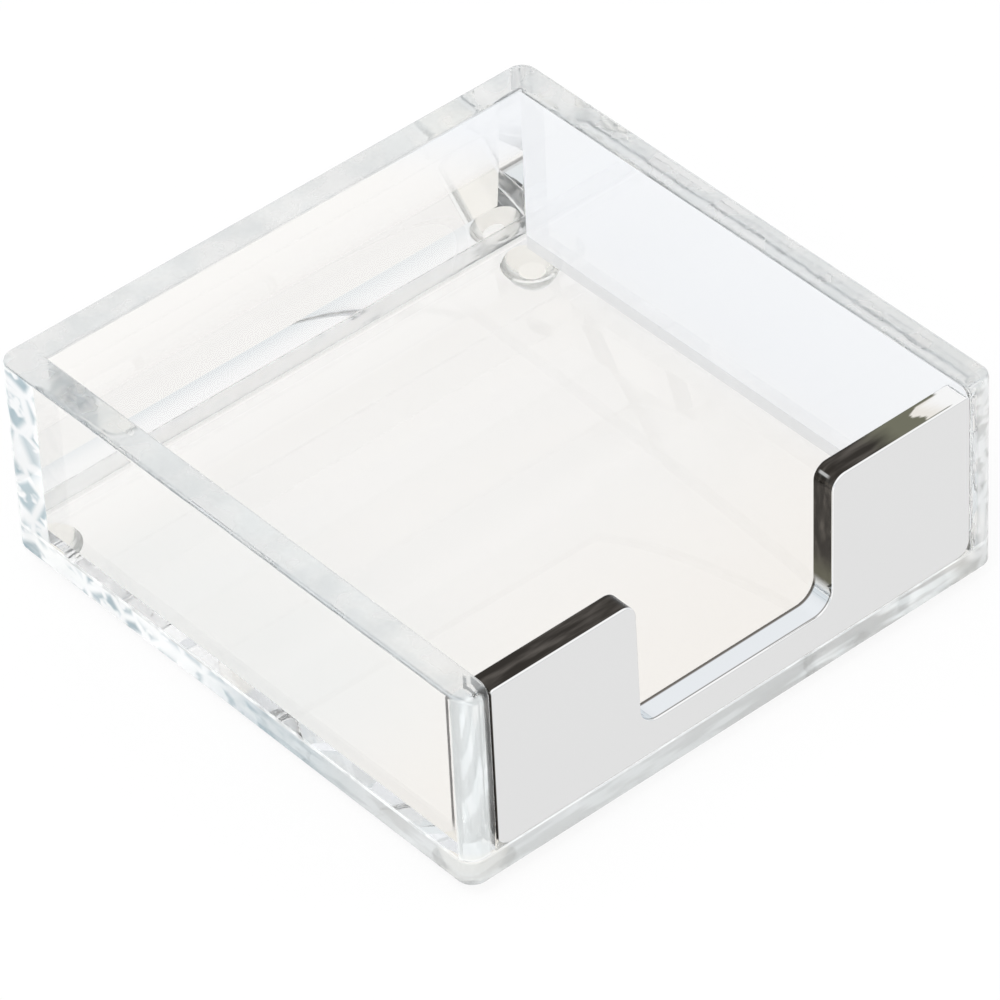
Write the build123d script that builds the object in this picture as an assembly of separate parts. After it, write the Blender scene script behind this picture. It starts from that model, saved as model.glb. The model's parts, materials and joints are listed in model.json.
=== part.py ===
import os

from build123d import *

# Open desk tray for square note sheets. Four sheets of clear acrylic are bonded
# into a tray, and a thick metal front with a thumb notch closes its fourth side.
# Millimetres, +Z up, front towards -Y, origin under the middle of the footprint.

# Tray
width = 95.0
depth = 96.0
wall = 5.0
base_thickness = 4.5
tray_height = 33.3
corner_radius = 2.6
nose_radius = 2.0
rim_round = 0.8
well_rim_round = 0.5
underside_round = 0.6

# Metal front
front_thickness = 4.0
front_drop = 1.2
front_top_radius = 0.7
front_bottom_radius = 2.3
front_edge_round = 0.25
notch_width = 35.0
notch_taper = 0.35
notch_height = 9.8
notch_mouth_radius = 2.3
notch_floor_radius = 3.2

# Feet
foot_height = 2.0
foot_radius = 4.4
foot_tread_radius = 2.0
foot_inset = 5.2

base_bottom = foot_height
base_top = base_bottom + base_thickness
rim_top = base_bottom + tray_height
front_top = rim_top - front_drop
notch_floor = base_bottom + notch_height
half_width = width / 2
half_depth = depth / 2
half_inner = half_width - wall
well_back = half_depth - wall
front_face = -half_depth

# How far cutting bodies run past what they cut, and how close counts as equal.
past = 1.0
near = 0.01


def slab(x_low, x_high, y_low, y_high, z_low, z_high):
    """A box given by its limits."""
    size = (x_high - x_low, y_high - y_low, z_high - z_low)
    middle = ((x_low + x_high) / 2, (y_low + y_high) / 2, (z_low + z_high) / 2)
    return Pos(*middle) * Box(*size)


def edges_at_height(shape, height):
    """Edges that lie wholly at one height."""
    close_by = shape.edges().filter_by_position(Axis.Z, height - near, height + near)
    return close_by.filter_by(lambda edge: edge.bounding_box().size.Z < near)


def shape_tray():
    """The whole tray as it is after bonding and polishing."""
    tray = slab(-half_width, half_width, -half_depth, half_depth, base_bottom, rim_top)
    tray = fillet(tray.edges().filter_by(Axis.Z), corner_radius)

    # The front top edge rolls over in side view, for the noses of the side walls.
    side_view = slab(-half_width, half_width, -half_depth, half_depth, base_bottom, rim_top)
    top_edges = edges_at_height(side_view, rim_top)
    side_view = fillet(top_edges.sort_by(Axis.Y)[0], nose_radius)
    tray = tray & side_view

    tray = fillet(edges_at_height(tray, base_bottom), underside_round)
    nose_end = front_face + nose_radius + near
    rim = edges_at_height(tray, rim_top).filter_by(lambda edge: edge.center().Y > nose_end)
    tray = fillet(rim, rim_round)

    tray -= slab(-half_inner, half_inner, front_face - past, well_back, base_top, rim_top + past)
    well_rim = edges_at_height(tray, rim_top)
    well_rim = well_rim.filter_by(lambda edge: abs(edge.center().X) < half_inner + near)
    well_rim = well_rim.filter_by(lambda edge: edge.center().Y < well_back + near)
    return fillet(well_rim, well_rim_round)


def shape_front():
    """The metal front, drawn as seen from the front and given its thickness."""
    height = front_top - base_top
    panel = Pos(0, base_top + height / 2) * Rectangle(2 * half_inner, height)
    panel = fillet(panel.vertices().group_by(Axis.Y)[-1], front_top_radius)
    panel = fillet(panel.vertices().group_by(Axis.Y)[0], front_bottom_radius)

    mouth = notch_width / 2
    floor = mouth - notch_taper
    notch = make_face(
        Polyline(
            (-mouth, front_top + past),
            (-floor, notch_floor),
            (floor, notch_floor),
            (mouth, front_top + past),
            close=True,
        )
    )
    panel = panel - notch
    beside_notch = panel.vertices().filter_by(lambda corner: abs(corner.X) < mouth + near)
    panel = fillet(beside_notch.group_by(Axis.Y)[0], notch_floor_radius)
    beside_notch = panel.vertices().filter_by(lambda corner: abs(corner.X) < mouth + near)
    panel = fillet(beside_notch.group_by(Axis.Y)[-1], notch_mouth_radius)

    upright = Plane(origin=(0, front_face, 0), x_dir=(1, 0, 0), z_dir=(0, -1, 0))
    front = extrude(upright * panel, amount=-front_thickness)
    outline = front.edges().filter_by(lambda edge: edge.bounding_box().size.Y < near)
    return fillet(outline, front_edge_round)


def shape_foot(x_place, y_place):
    """A round clear bumper: a slice of a ball, flat where it is stuck on and where it rests."""
    ball_height = (foot_radius**2 - foot_tread_radius**2 + foot_height**2) / (2 * foot_height)
    ball_radius = (foot_tread_radius**2 + ball_height**2) ** 0.5
    ball = Pos(x_place, y_place, ball_height) * Sphere(ball_radius)
    reach = ball_radius + past
    layer = slab(x_place - reach, x_place + reach, y_place - reach, y_place + reach, 0, foot_height)
    return ball & layer


# The polished tray is parted along the joints between its sheets. The side walls
# are a mirrored pair.
tray = shape_tray()
base_plate = tray & slab(-half_width, half_width, -half_depth, half_depth, 0, base_top)
left_wall = tray & slab(-half_width, -half_inner, -half_depth, half_depth, base_top, rim_top)
right_wall = mirror(left_wall, Plane.YZ)
back_wall = tray & slab(-half_inner, half_inner, 0, half_depth, base_top, rim_top)

parts = {
    "base_plate": base_plate,
    "left_wall": left_wall,
    "right_wall": right_wall,
    "back_wall": back_wall,
    "front_plate": shape_front(),
}

foot_x = half_width - foot_inset
foot_y = half_depth - foot_inset
for end, y_place in (("front", -foot_y), ("back", foot_y)):
    for side, x_place in (("left", -foot_x), ("right", foot_x)):
        parts[f"foot_{end}_{side}"] = shape_foot(x_place, y_place)

os.makedirs("parts", exist_ok=True)
for name, shape in parts.items():
    export_step(shape, f"parts/{name}.step")
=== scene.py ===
import json
import math

import bpy
from mathutils import Matrix, Vector

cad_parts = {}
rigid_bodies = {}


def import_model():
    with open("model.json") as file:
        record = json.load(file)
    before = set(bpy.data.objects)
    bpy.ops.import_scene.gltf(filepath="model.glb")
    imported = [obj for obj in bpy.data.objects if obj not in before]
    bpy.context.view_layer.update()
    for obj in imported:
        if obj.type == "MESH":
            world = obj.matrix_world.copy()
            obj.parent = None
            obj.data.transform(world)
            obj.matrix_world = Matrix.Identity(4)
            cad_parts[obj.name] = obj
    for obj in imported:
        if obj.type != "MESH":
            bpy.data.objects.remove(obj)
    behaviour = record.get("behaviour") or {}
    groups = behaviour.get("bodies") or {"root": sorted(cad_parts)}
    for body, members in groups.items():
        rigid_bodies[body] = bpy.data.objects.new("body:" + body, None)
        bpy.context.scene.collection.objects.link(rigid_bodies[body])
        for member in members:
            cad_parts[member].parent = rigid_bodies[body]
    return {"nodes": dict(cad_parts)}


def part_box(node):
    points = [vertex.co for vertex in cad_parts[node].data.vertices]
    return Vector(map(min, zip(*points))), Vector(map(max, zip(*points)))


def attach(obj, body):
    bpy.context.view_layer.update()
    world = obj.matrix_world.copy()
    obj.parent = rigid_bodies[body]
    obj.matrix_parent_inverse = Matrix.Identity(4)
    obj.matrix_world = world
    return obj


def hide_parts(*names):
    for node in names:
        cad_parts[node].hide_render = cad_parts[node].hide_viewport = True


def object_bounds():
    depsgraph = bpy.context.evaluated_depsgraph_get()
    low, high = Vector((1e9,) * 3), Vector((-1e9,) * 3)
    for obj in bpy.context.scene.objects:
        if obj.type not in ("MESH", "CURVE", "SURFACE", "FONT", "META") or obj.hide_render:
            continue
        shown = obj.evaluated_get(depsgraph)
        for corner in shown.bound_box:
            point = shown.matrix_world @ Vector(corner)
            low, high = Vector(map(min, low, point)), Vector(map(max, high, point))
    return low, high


mm = 0.001

bpy.ops.object.select_all(action="SELECT")
bpy.ops.object.delete()

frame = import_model()
cadLow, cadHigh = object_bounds()
scene = bpy.context.scene
print("frame loaded, CAD box in mm", [round(v / mm, 2) for v in cadHigh - cadLow])

baseLow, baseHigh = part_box("base_plate")
_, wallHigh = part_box("left_wall")
plateLow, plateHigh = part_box("front_plate")


# one shader socket, so that materials read as plain sums
class Wire:
    def __init__(self, tree, socket=None):
        self.tree = tree
        self.socket = socket

    def node(self, kind, settings, inputs, output=0):
        made = self.tree.nodes.new(kind)
        for name, value in settings.items():
            if name == "stops":
                fillRamp(made.color_ramp, value)
            else:
                setattr(made, name, value)
        for name, value in inputs.items():
            if isinstance(value, Wire):
                self.tree.links.new(value.socket, made.inputs[name])
            else:
                made.inputs[name].default_value = value
        return Wire(self.tree, made.outputs[output])

    def maths(self, operation, *values):
        return self.node("ShaderNodeMath", {"operation": operation}, dict(enumerate(values)))

    def __add__(self, other):
        return self.maths("ADD", self, other)

    def __radd__(self, other):
        return self.maths("ADD", other, self)

    def __sub__(self, other):
        return self.maths("SUBTRACT", self, other)

    def __rsub__(self, other):
        return self.maths("SUBTRACT", other, self)

    def __mul__(self, other):
        return self.maths("MULTIPLY", self, other)

    def absolute(self):
        return self.maths("ABSOLUTE", self)

    def orWhere(self, other):
        return self.maths("MAXIMUM", self, other)

    def ramp(self, low, high):
        # 0 below low, 1 above high, smooth between; low above high runs the other way
        limits = {"Value": self, "From Min": low, "From Max": high}
        return self.node("ShaderNodeMapRange", {"interpolation_type": "SMOOTHSTEP"}, limits)

    def rampFrom(self, limit, offsets):
        # the same, with both ends given as offsets from a limit
        return self.ramp(limit + offsets[0], limit + offsets[1])

    def mix(self, low, high):
        # low where this wire is 0 and high where it is 1; inputs 6 and 7 are the two colours
        return self.node("ShaderNodeMix", {"data_type": "RGBA"}, {0: self, 6: low, 7: high}, 2)


def fillRamp(colourRamp, stops):
    while len(colourRamp.elements) < len(stops):
        colourRamp.elements.new(0.5)
    for element, (place, colour) in zip(colourRamp.elements, stops):
        element.position = place
        element.color = colour


def grey(value):
    return (value, value, value, 1.0)


def newMaterial(name):
    material = bpy.data.materials.new(name)
    material.use_nodes = True
    shader = material.node_tree.nodes["Principled BSDF"]
    return material, shader, Wire(material.node_tree)


def objectPlace(wire):
    # object coordinates in millimetres, as three wires
    place = wire.node("ShaderNodeTexCoord", {}, {}, 3)
    place = wire.node("ShaderNodeVectorMath", {"operation": "SCALE"}, {0: place, 3: 1 / mm})
    axes = [wire.node("ShaderNodeSeparateXYZ", {}, {0: place}, axis) for axis in range(3)]
    return place, *axes


def plug(wire, shader, name):
    wire.tree.links.new(wire.socket, shader.inputs[name])


def selectOnly(obj):
    bpy.ops.object.select_all(action="DESELECT")
    obj.select_set(True)
    bpy.context.view_layer.objects.active = obj


def copyOf(node, name):
    # a merged copy of a CAD node's loose triangles
    selectOnly(frame["nodes"][node])
    bpy.ops.object.duplicate()
    made = bpy.context.object
    made.name = name
    for key in list(made.keys()):
        del made[key]
    bpy.ops.object.mode_set(mode="EDIT")
    bpy.ops.mesh.select_all(action="SELECT")
    bpy.ops.mesh.remove_doubles(threshold=0.001 * mm)
    bpy.ops.mesh.dissolve_limited(angle_limit=math.radians(0.2))
    bpy.ops.object.mode_set(mode="OBJECT")
    return made


def bondTo(obj, other):
    modifier = obj.modifiers.new("bond", "BOOLEAN")
    modifier.operation = "UNION"
    modifier.solver = "EXACT"
    modifier.object = other
    selectOnly(obj)
    bpy.ops.object.modifier_apply(modifier=modifier.name)
    bpy.data.objects.remove(other)


def shiftFaces(obj, test, shift):
    # moves the faces that the test picks out
    selectOnly(obj)
    bpy.ops.object.mode_set(mode="EDIT")
    bpy.ops.mesh.select_mode(type="FACE")
    bpy.ops.mesh.select_all(action="DESELECT")
    bpy.ops.object.mode_set(mode="OBJECT")
    for face in obj.data.polygons:
        face.select = test(face)
    bpy.ops.object.mode_set(mode="EDIT")
    bpy.ops.transform.translate(value=shift)
    bpy.ops.object.mode_set(mode="OBJECT")


trayFinish = {
    "tint": (0.993, 0.996, 0.995, 1),
    "index": 1.49,
    "bond": 0.03 * mm,
    "creaseAngle": math.radians(30),
    "rippleStrength": 0.35,  # bump on the sheet ends
    "rippleDepth": 0.5 * mm,
    "mottleRipple": 0.35,
    "waveRipple": 0.4,
    # where the sheets end, as offsets in mm from the outer faces, rim, well or top of the base
    "corner": (-2.6, -2.0),
    "outerFace": (-0.5, -0.2),
    "belowBase": (-0.1, -0.4),
    "aboveBase": (-0.1, 0.2),
    "rimTop": (-0.75, -0.3),
    "noseFront": (0.6, 0.2),
    "noseSide": (0.7, 1.7),
    # from here on haze is painted, in places chosen for the photograph's view; a real tray
    # has the same ends on all sides
    "hazeRoughness": 0.3,
    # these edge colours are partly the sheet ends' own grey and teal tint and partly painted
    # reflection and refraction
    "coolEdge": (0.27, 0.385, 0.445, 1),  # sheet ends at the left
    "deepEdge": (0.29, 0.42, 0.48, 1),  # painted refraction: the end of the back wall as seen through the side wall
    "greyEdge": (0.48, 0.48, 0.47, 1),  # sheet ends at the front and right
    "rimEdge": (0.50, 0.53, 0.545, 1),
    "paleEdge": (0.88, 0.91, 0.91, 1),
    "darkLine": (0.07, 0.06, 0.055, 1),
    "bondLineAndHighlight": (0.97, 0.98, 0.98, 1),
    "rimHaze": 0.55,
    "rimHazeEven": 0.6,  # the part of it that the mottle leaves alone
    "baseHaze": 0.7,
    "farHaze": 0.2,  # at the back and the right
    "cornerHaze": 0.62,
    "backEndHaze": 0.66,
    "darkLineHaze": 0.9,
    "bondHaze": 0.4,  # and as much again by the mottle
    # noise, in cycles for each mm
    "level": (0.09, 0.09, 0.5),
    "plumb": (0.45, 0.45, 0.06),
    "mottle": (0.22, 0.22, 0.3),
    "facets": (0.17, 0.17, 0.2),
    "wavesClear": (0.42, 0.62),
    "facetFlash": (0.21, 0.03),
    "mottleFlash": (0.5, 0.6),
    "mottleRim": (0.62, 0.38),
    "mottleBond": (0.4, 0.6),
    # regions, in mm
    "frontEnds": (-40, -46),  # y
    "leftEnds": (-45, -47),  # x
    "warmRight": (-30, 30),
    "warmFront": (0, -35),
    "rightEnds": (38, 42),
    "towardsLeft": (25, 0),
    "nearCornerX": (10, -30),
    "nearCornerY": (-25, -40),
    "leftBackX": (30, -10),
    "leftBackY": (-20, 15),
    "rightNoseX": (41, 43),
    "rightNoseY": (-44, -47),
    "backEndX": (-0.4, -0.1),
    "backEndY": (-8.5, -8.0),
    "leftOnly": (0, -1),
    "bondLineWidth": (0.5, 0.25),
    "darkLineBehind": 1.1,  # mm behind the metal front
    "darkLineWidth": (0.45, 0.25),
    "darkLineSide": (0.3, 0.1),
    "darkLineFoot": (1.0, 4.0),
    "darkLineTop": (-2.5, -4.0),
    # how far a region weakens or strengthens what is painted there
    "rimUncleared": 0.75,
    "rightUncleared": 0.85,
    "leftUncleared": 0.6,
    "nearPale": 0.2,
    "nearUprightPale": 0.7,
    "rightNoseFlash": 0.7,
}


def bondTray():
    # solvent bonding leaves no gap, so light passes the joints as in one body
    tray = copyOf("base_plate", "clear_tray")
    for sheet in ("left_wall", "right_wall", "back_wall"):
        bondTo(tray, copyOf(sheet, sheet + "_sheet"))
    # whole faces move outwards, so that none lies in one plane with the metal front or a foot
    bond = trayFinish["bond"]
    near = 0.01 * mm
    square = 0.99
    for side in (-1, 1):
        wellSide = side * wallHigh.x * -1
        inner = lambda f: abs(f.center.x - wellSide) < near and abs(f.normal.x) > square
        shiftFaces(tray, inner, (-side * bond, 0, 0))
    floor = lambda f: abs(f.center.z - baseHigh.z) < near and f.normal.z > square
    shiftFaces(tray, floor, (0, 0, bond))
    underside = lambda f: abs(f.center.z - baseLow.z) < near and f.normal.z < -square
    shiftFaces(tray, underside, (0, 0, -bond))
    selectOnly(tray)
    bpy.ops.object.shade_smooth_by_angle(angle=trayFinish["creaseAngle"])
    # the large faces stay optically flat, and only the rounds between them shade as curves
    modifier = tray.modifiers.new("flat faces", "WEIGHTED_NORMAL")
    modifier.weight = 100  # the most that the modifier takes
    modifier.keep_sharp = True
    bpy.ops.object.modifier_apply(modifier=modifier.name)
    return tray


def stretched(wire, place, scale, inputs, kind="ShaderNodeTexNoise", settings=None):
    # a pattern drawn out along the axes with the smaller scale
    scaled = wire.node("ShaderNodeVectorMath", {"operation": "MULTIPLY"}, {0: place, 1: scale})
    return wire.node(kind, settings or {}, {"Vector": scaled, "Scale": 1.0, **inputs})


def clearAcrylic():
    material, shader, wire = newMaterial("clear acrylic")
    tree = material.node_tree
    finish = trayFinish
    place, x, y, z = objectPlace(wire)
    across, along = x.absolute(), y.absolute()
    halfWidth, halfDepth = cadHigh.x / mm, cadHigh.y / mm
    base, rimTop = baseHigh.z / mm, wallHigh.z / mm
    inner = -wallHigh.x / mm

    # where the sheets end: outer faces, rounded corners, rims and the noses of the side walls
    corner = across.rampFrom(halfWidth, finish["corner"])
    corner = corner * along.rampFrom(halfDepth, finish["corner"])
    outer = across.rampFrom(halfWidth, finish["outerFace"])
    outer = outer.orWhere(along.rampFrom(halfDepth, finish["outerFace"])).orWhere(corner)
    aboveBase = z.rampFrom(base, finish["aboveBase"])
    baseEdge = outer * z.rampFrom(base, finish["belowBase"])
    rim = z.rampFrom(rimTop, finish["rimTop"])
    nose = y.rampFrom(-halfDepth, finish["noseFront"]) * across.rampFrom(inner, finish["noseSide"])
    upright = corner.orWhere(nose) * aboveBase
    # the white line at the joint with the base is a bond line and also a painted highlight, strong
    # only on the front and left
    bondLineAndHighlight = outer * (z - base).absolute().ramp(*finish["bondLineWidth"])

    # painted refraction at the left only: the end of the back wall seen through the side wall, as
    # the photograph shows it there
    backEndRefraction = across.rampFrom(halfWidth, finish["backEndX"])
    backEndRefraction = backEndRefraction * y.rampFrom(halfDepth, finish["backEndY"])
    backEndRefraction = backEndRefraction * aboveBase * (1 - rim) * x.ramp(*finish["leftOnly"])
    # painted on both side walls: a dark line behind the metal front, guessed to be glue
    behindPlate = (y - plateHigh.y / mm - finish["darkLineBehind"]).absolute()
    darkLine = across.rampFrom(inner, finish["darkLineSide"]) * behindPlate.ramp(*finish["darkLineWidth"])
    darkLine = darkLine * z.rampFrom(base, finish["darkLineFoot"]) * z.rampFrom(rimTop, finish["darkLineTop"])

    # noise for the waves and the painted flashes; none of it follows the photograph's marks
    detail = {"Detail": 2.0}
    level = stretched(wire, place, finish["level"], detail)
    plumb = stretched(wire, place, finish["plumb"], detail)
    waves = level + (plumb - level) * upright
    mottle = stretched(wire, place, finish["mottle"], {"Detail": 2.0, "Roughness": 0.5})
    toEdge = {"feature": "DISTANCE_TO_EDGE"}
    facets = stretched(wire, place, finish["facets"], {}, "ShaderNodeTexVoronoi", toEdge)
    # the flashes are painted highlights: white patches drawn from the noise
    paintedFlash = facets.ramp(*finish["facetFlash"]).orWhere(mottle.ramp(*finish["mottleFlash"]))

    # the regions in which the photograph shows stronger, warmer, paler or flashing ends
    frontOrLeft = y.ramp(*finish["frontEnds"]).orWhere(x.ramp(*finish["leftEnds"]))
    warmer = x.ramp(*finish["warmRight"]).orWhere(y.ramp(*finish["warmFront"]))
    clearing = waves.ramp(*finish["wavesClear"]) * (1 - rim * finish["rimUncleared"])
    clearing = clearing * (1 - x.ramp(*finish["rightEnds"]) * finish["rightUncleared"])
    uncleared = frontOrLeft * x.ramp(*finish["towardsLeft"]) * (1 - upright)
    clearing = clearing * (1 - uncleared * finish["leftUncleared"])
    nearCorner = y.ramp(*finish["nearCornerY"]) * x.ramp(*finish["nearCornerX"])
    pale = nearCorner * (finish["nearPale"] + upright * finish["nearUprightPale"]) * (1 - rim)
    pale = pale.orWhere(1 - frontOrLeft.orWhere(rim))
    leftBack = x.ramp(*finish["leftBackX"]) * y.ramp(*finish["leftBackY"]) * (1 - rim)
    rightNose = x.ramp(*finish["rightNoseX"]) * y.ramp(*finish["rightNoseY"]) * (1 - rim)
    flashing = leftBack.orWhere(rightNose * finish["rightNoseFlash"])

    # partly the ends' own tint and partly painted reflection: the changes by side and the pale
    # clearings stand for what the ends reflect and refract
    hazeColour = warmer.mix(finish["coolEdge"], finish["greyEdge"])
    hazeColour = rim.mix(hazeColour, finish["rimEdge"])
    hazeColour = clearing.mix(hazeColour, finish["paleEdge"])
    hazeColour = pale.mix(hazeColour, finish["paleEdge"])
    hazeColour = backEndRefraction.mix(hazeColour, finish["deepEdge"])
    hazeColour = (paintedFlash * flashing).mix(hazeColour, finish["bondLineAndHighlight"])
    hazeColour = bondLineAndHighlight.mix(hazeColour, finish["bondLineAndHighlight"])
    hazeColour = darkLine.mix(hazeColour, finish["darkLine"])
    hazeInputs = {"Base Color": hazeColour, "Roughness": finish["hazeRoughness"]}
    haze = wire.node("ShaderNodeBsdfPrincipled", {}, hazeInputs)

    even, far = finish["rimHazeEven"], finish["farHaze"]
    rimMottle = even + mottle.ramp(*finish["mottleRim"]) * (1 - even)
    bondMottle = finish["bondHaze"] + mottle.ramp(*finish["mottleBond"]) * finish["bondHaze"]
    amount = rim * finish["rimHaze"] * rimMottle
    amount = amount.orWhere(baseEdge * (far + frontOrLeft * (finish["baseHaze"] - far)))
    amount = amount.orWhere(upright * (far + frontOrLeft * (finish["cornerHaze"] - far)))
    amount = amount.orWhere(backEndRefraction * finish["backEndHaze"])
    amount = amount.orWhere(bondLineAndHighlight * frontOrLeft * bondMottle)
    amount = amount.orWhere(darkLine * finish["darkLineHaze"])

    shader.inputs["Base Color"].default_value = finish["tint"]
    shader.inputs["Transmission Weight"].default_value = 1
    shader.inputs["IOR"].default_value = finish["index"]
    shader.inputs["Roughness"].default_value = 0
    ends = rim.orWhere(baseEdge).orWhere(upright)
    ripple = (mottle * finish["mottleRipple"] + waves * finish["waveRipple"]) * ends
    bumpInputs = {
        "Strength": finish["rippleStrength"],
        "Distance": finish["rippleDepth"],
        "Height": ripple,
    }
    plug(wire.node("ShaderNodeBump", {}, bumpInputs), shader, "Normal")
    clear = Wire(tree, shader.outputs[0])
    mixed = wire.node("ShaderNodeMixShader", {}, {0: amount, 1: clear, 2: haze})
    tree.links.new(mixed.socket, tree.nodes["Material Output"].inputs["Surface"])
    return material


tray = bondTray()
tray.data.materials.clear()
tray.data.materials.append(clearAcrylic())
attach(tray, "root")
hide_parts("base_plate", "left_wall", "right_wall", "back_wall")
print("clear tray made,", len(tray.data.polygons), "faces")


frontFinish = {
    "face": grey(0.75),
    "roughness": 0.06,
    # from here on bands are painted into the base colour, where the photograph's view has
    # reflections: they stay on the metal and don't follow the light
    "edgeDark": (0.035, 0.031, 0.027, 1),
    "edgeBrown": (0.11, 0.10, 0.09, 1),
    "edgeOlive": (0.17, 0.17, 0.125, 1),
    "cream": (0.87, 0.84, 0.79, 1),
    "white": grey(0.97),
    "notchFloor": (0.84, 0.87, 0.90, 1),
    "line": (0.16, 0.145, 0.13, 1),
    "notchHeight": 9.8,  # mm above the underside of the tray
    # places in mm: x, or offsets from the plate's front, back, top, left end or notch floor
    "edgeFront": (0.16, 0.24),
    "edgeBack": (-0.1, -0.2),
    "topEdge": (-3, -1),
    "grain": (0.12, 0.9, 0.3),  # cycles for each mm
    "grainBrown": (0.4, 0.75),
    "grainShift": 6,
    "oliveFrom": (25, 31),
    "creamFrom": (34.2, 35),
    "whiteFrom": (35.5, 39),
    "frontLine": (0.6, 0.35),
    "backLine": (-0.75, -0.45),
    "besideEndFrom": (33, 34),
    "besideEndTo": (39.8, 38.8),
    "inNotch": (19, 18),
    "flank": (9, 4.5),
    "flankShare": 0.6,
    "lowPart": (4.2, 2.2),
    "glintMiddle": 18.1,
    "glintWidth": (0.22, 0.08),
    "glintTop": (-1.6, -0.8),
    "glintFront": (1.2, 2.0),
    "glintBack": (-0.4, -0.9),
    "glintShare": 0.5,
    "highlightStart": (0.03, 0.08),
    "highlightEnd": (0.37, 0.27),
    "stripWidth": (0.22, 0.1),
    "stripDepth": (3.0, 2.2),
}


def brightMetal():
    material, shader, wire = newMaterial("bright metal")
    finish = frontFinish
    place, x, y, z = objectPlace(wire)
    across = x.absolute()
    front, back = plateLow.y / mm, plateHigh.y / mm
    side, top = plateHigh.x / mm, plateHigh.z / mm
    notchFloor = baseLow.z / mm + finish["notchHeight"]
    onEdge = y.rampFrom(front, finish["edgeFront"]) * y.rampFrom(back, finish["edgeBack"])
    onTop = z.rampFrom(top, finish["topEdge"])
    inNotch = across.ramp(*finish["inNotch"])
    frontLine = y.rampFrom(front, finish["frontLine"])
    lines = frontLine.orWhere(y.rampFrom(back, finish["backLine"]))

    # painted reflection on the edge: nearly black, going over olive and cream to white at the right
    grain = stretched(wire, place, finish["grain"], {"Detail": 3.0})
    edge = grain.ramp(*finish["grainBrown"]).mix(finish["edgeDark"], finish["edgeBrown"])
    wavy = x + (grain - 0.5) * finish["grainShift"]
    edge = (wavy.ramp(*finish["oliveFrom"]) * onTop).mix(edge, finish["edgeOlive"])
    edge = (wavy.ramp(*finish["creamFrom"]) * onTop).mix(edge, finish["cream"])
    edge = (wavy.ramp(*finish["whiteFrom"]) * onTop).mix(edge, finish["white"])
    besideEnd = wavy.ramp(*finish["besideEndFrom"]) * x.ramp(*finish["besideEndTo"])
    edge = (onTop * besideEnd * lines).mix(edge, finish["edgeOlive"])

    # painted reflections in the notch: olive flanks and a pale floor between two dark lines
    flank = z.rampFrom(notchFloor, finish["flank"]) * finish["flankShare"]
    edge = (flank * inNotch).mix(edge, finish["edgeOlive"])
    lowPart = z.rampFrom(notchFloor, finish["lowPart"]) * inNotch
    edge = lowPart.mix(edge, finish["notchFloor"])
    edge = (lowPart * lines).mix(edge, finish["line"])

    # painted glint across the right mouth corner of the notch
    paintedGlint = (x - finish["glintMiddle"]).absolute().ramp(*finish["glintWidth"])
    paintedGlint = paintedGlint * z.rampFrom(top, finish["glintTop"])
    paintedGlint = paintedGlint * y.rampFrom(front, finish["glintFront"])
    paintedGlint = paintedGlint * y.rampFrom(back, finish["glintBack"])
    edge = (paintedGlint * finish["glintShare"]).mix(edge, finish["white"])

    # painted highlight along the rounded outline, and painted shade at the left wall
    colour = onEdge.mix(finish["face"], edge)
    paintedHighlight = y.rampFrom(front, finish["highlightStart"])
    paintedHighlight = paintedHighlight * y.rampFrom(front, finish["highlightEnd"])
    colour = (paintedHighlight * onTop.orWhere(inNotch)).mix(colour, finish["white"])
    paintedWallShade = x.rampFrom(-side, finish["stripWidth"]) * y.rampFrom(front, finish["stripDepth"])
    colour = paintedWallShade.mix(colour, finish["edgeDark"])
    plug(colour, shader, "Base Color")
    shader.inputs["Metallic"].default_value = 1
    shader.inputs["Roughness"].default_value = finish["roughness"]
    return material


front = frame["nodes"]["front_plate"]
front.data.materials.clear()
front.data.materials.append(brightMetal())
print("metal front finished")


footFinish = {"tint": (0.985, 0.975, 0.94, 1), "index": 1.47, "roughness": 0.12}


def softBumper():
    material, shader, _ = newMaterial("soft bumper")
    shader.inputs["Base Color"].default_value = footFinish["tint"]
    shader.inputs["Transmission Weight"].default_value = 1
    shader.inputs["IOR"].default_value = footFinish["index"]
    shader.inputs["Roughness"].default_value = footFinish["roughness"]
    return material


bumper = softBumper()
for end in ("front", "back"):
    for side in ("left", "right"):
        foot = frame["nodes"][f"foot_{end}_{side}"]
        foot.data.materials.clear()
        foot.data.materials.append(bumper)
print("feet finished")


studio = {
    "floorSize": 6.0,
    "floorGrey": grey(0.9),
    "floorShade": 0.1,  # how much of the floor's white takes shadows
    # the floor isn't plain: rays that have passed the tray see these tones in place of the
    # camera's white, and on another floor the tray doesn't have them
    # these tones are painted shade and tint: darker, warm at the front, grey at the left and cool
    # at the right, as seen through the tray
    "throughClear": (0.972, 0.954, 0.933, 1),
    "throughFront": (0.955, 0.918, 0.872, 1),
    "throughLeft": (0.915, 0.912, 0.895, 1),
    "throughRight": (0.91, 0.928, 0.96, 1),
    "frontFrom": (10, -40),  # regions of those tones, in mm
    "leftFrom": (-5, -35),
    "leftFrontFrom": (-30, 0),
    "leftBackTo": (45, 35),
    "rightFrom": (40, 60),
    # the world, by the height of the direction
    "horizon": (0.73, 0.77, 0.79, 1),
    "midHeight": 0.35,
    "midSky": grey(0.9),
    "zenith": grey(1.0),
    "gap": (0.74, 0.78, 0.80, 1),  # soft darker patches near the horizon
    "gapScale": 3.0,
    "gapRamp": (0.52, 0.44),
    "gapHeight": (0.5, 0.35),
    "lampPlace": (-0.5, -0.2, 0.9),
    "lampSize": 0.6,
    "lampPower": 4,
    "bounces": 32,
    "fewerBounces": 16,
}


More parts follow.
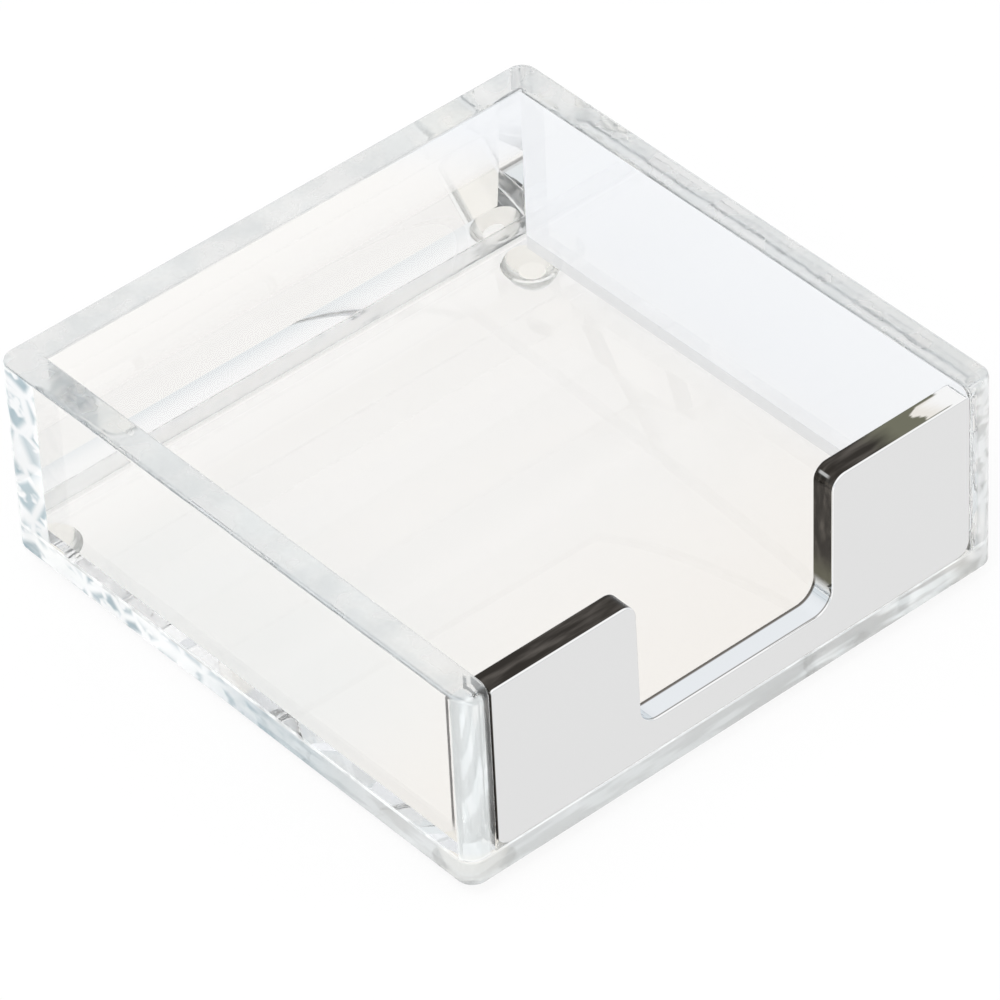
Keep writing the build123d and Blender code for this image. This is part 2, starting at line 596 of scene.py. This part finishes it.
def paleFloor():
    material, shader, wire = newMaterial("pale floor")
    tree = material.node_tree
    _, x, y, _ = objectPlace(wire)
    shader.inputs["Base Color"].default_value = studio["floorGrey"]
    shader.inputs["Roughness"].default_value = 1
    path = tree.nodes.new("ShaderNodeLightPath")
    through = Wire(tree, path.outputs["Is Transmission Ray"])
    # painted shade and tint by region, glowing for rays that passed the tray
    tone = y.ramp(*studio["frontFrom"]).mix(studio["throughClear"], studio["throughFront"])
    atLeft = x.ramp(*studio["leftFrom"]) * y.ramp(*studio["leftFrontFrom"])
    atLeft = atLeft * y.ramp(*studio["leftBackTo"])
    tone = atLeft.mix(tone, studio["throughLeft"])
    tone = x.ramp(*studio["rightFrom"]).mix(tone, studio["throughRight"])
    white = wire.node("ShaderNodeEmission", {}, {"Color": through.mix(grey(1), tone)})
    seen = Wire(tree, path.outputs["Is Camera Ray"]) + Wire(tree, path.outputs["Is Glossy Ray"])
    seen = wire.maths("MINIMUM", seen + through, 1.0) * (1 - studio["floorShade"])
    shaded = Wire(tree, shader.outputs[0])
    mixed = wire.node("ShaderNodeMixShader", {}, {0: seen, 1: shaded, 2: white})
    tree.links.new(mixed.socket, tree.nodes["Material Output"].inputs["Surface"])
    return material


bpy.ops.object.select_all(action="DESELECT")
bpy.ops.mesh.primitive_plane_add(size=studio["floorSize"], location=(0, 0, 0))
floor = bpy.context.object
floor.name = "floor"
floor.data.materials.append(paleFloor())


def studioWorld():
    world = bpy.data.worlds.new("studio")
    scene.world = world
    world.use_nodes = True
    tree = world.node_tree
    wire = Wire(tree)
    path = tree.nodes.new("ShaderNodeLightPath")
    camera = Wire(tree, path.outputs["Is Camera Ray"])
    direction = wire.node("ShaderNodeTexCoord", {}, {}, 0)
    height = wire.node("ShaderNodeSeparateXYZ", {}, {0: direction}, 2)
    middle = (studio["midHeight"], studio["midSky"])
    stops = [(0.0, studio["horizon"]), middle, (1.0, studio["zenith"])]
    sky = wire.node("ShaderNodeValToRGB", {"stops": stops}, {0: height})
    noiseInputs = {"Vector": direction, "Scale": studio["gapScale"], "Detail": 1.0}
    noise = wire.node("ShaderNodeTexNoise", {}, noiseInputs)
    gaps = noise.ramp(*studio["gapRamp"]) * height.ramp(*studio["gapHeight"])
    sky = gaps.mix(sky, studio["gap"])
    colour = camera.mix(sky, grey(1))
    background = tree.nodes["Background"]
    tree.links.new(colour.socket, background.inputs["Color"])
    background.inputs["Strength"].default_value = 1


studioWorld()


def addLamp():
    bpy.ops.object.light_add(type="AREA", location=studio["lampPlace"])
    lamp = bpy.context.object
    lamp.name = "key softbox"
    lamp.data.shape = "SQUARE"
    lamp.data.size = studio["lampSize"]
    lamp.data.energy = studio["lampPower"]
    aim = -Vector(studio["lampPlace"])
    lamp.rotation_euler = aim.to_track_quat("-Z", "Y").to_euler()
    # neither the tray nor the metal shows the lamp, which would be a white square there
    lamp.visible_transmission = False
    lamp.visible_glossy = False


addLamp()
print("studio made")

cameraView = {
    "place": Vector((-475.8, -582.5, 661.3)) * mm,
    "azimuth": math.radians(-39.24),
    "elevation": math.radians(40.84),
    "roll": math.radians(-2.94),
    "lens": 262.4,
    "sensor": 36,
    "nearLimit": 0.01,
}


def addCamera():
    azimuth, elevation, roll = (cameraView[k] for k in ("azimuth", "elevation", "roll"))
    back = Vector(
        (
            math.sin(azimuth) * math.cos(elevation),
            -math.cos(azimuth) * math.cos(elevation),
            math.sin(elevation),
        )
    )
    right = Vector((0, 0, 1)).cross(back).normalized()
    up = back.cross(right)
    tiltedRight = math.cos(roll) * right + math.sin(roll) * up
    tiltedUp = math.cos(roll) * up - math.sin(roll) * right
    turned = Matrix((tiltedRight, tiltedUp, back)).transposed().to_4x4()
    bpy.ops.object.camera_add()
    camera = bpy.context.object
    camera.matrix_world = Matrix.Translation(cameraView["place"]) @ turned
    camera.data.sensor_width = cameraView["sensor"]
    camera.data.lens = cameraView["lens"]
    camera.data.clip_start = cameraView["nearLimit"]
    scene.camera = camera


addCamera()
scene.view_settings.view_transform = "Standard"
scene.cycles.max_bounces = studio["bounces"]
scene.cycles.transmission_bounces = studio["bounces"]
scene.cycles.glossy_bounces = studio["fewerBounces"]
scene.cycles.transparent_max_bounces = studio["fewerBounces"]
print("camera placed")

print("scene finished")
